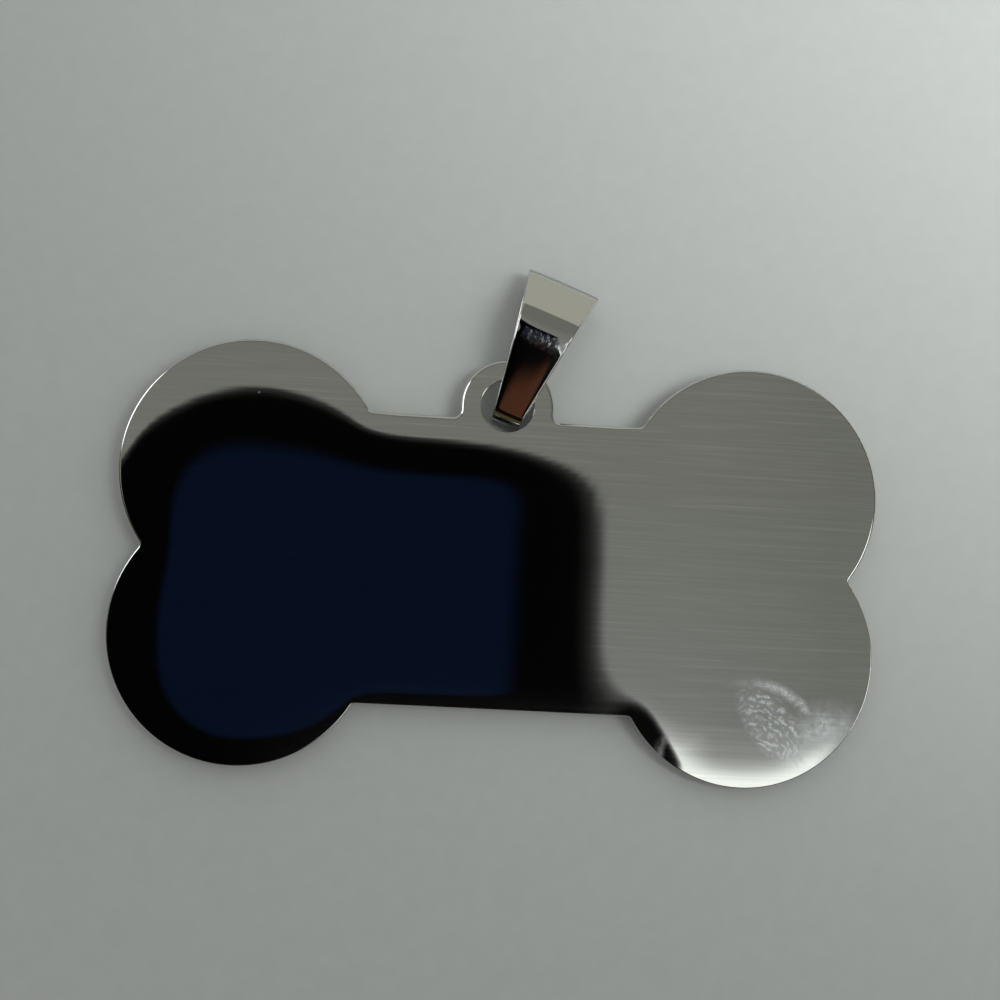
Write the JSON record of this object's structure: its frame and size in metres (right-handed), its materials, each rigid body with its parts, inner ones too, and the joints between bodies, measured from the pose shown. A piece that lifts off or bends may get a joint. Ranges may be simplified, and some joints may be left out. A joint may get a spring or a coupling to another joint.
{
  "type": "pet id tag",
  "caption": "Blank bone-shaped pet tag of mirror-polished steel, with a tapered folded bail that swivels in the hole of its round ear.",
  "frame": {"origin": "middle of the four lobes, on the plate's flat back face", "axes": "+X along the bone's length to the right seen from the front, +Y towards the ear, +Z out of the front face"},
  "size_m": [0.05, 0.0337, 0.0038],
  "materials": {
    "polished_plate": "stainless steel polished to a mirror, with fine hairlines along the width",
    "polished_strip": "stainless strip polished to a mirror, with fine drawing lines at the bends"
  },
  "bodies": {
    "plate": {"bone_plate": "polished_plate"},
    "bail": {"bail": "polished_strip"}
  },
  "joints": [
    {"name": "bail_swivel", "type": "hinge", "parent": "plate", "child": "bail", "pos_m": [0, 0.0104, 0.00075], "axis": [0, 0, 1], "range_deg": [-52, 91]}
  ]
}
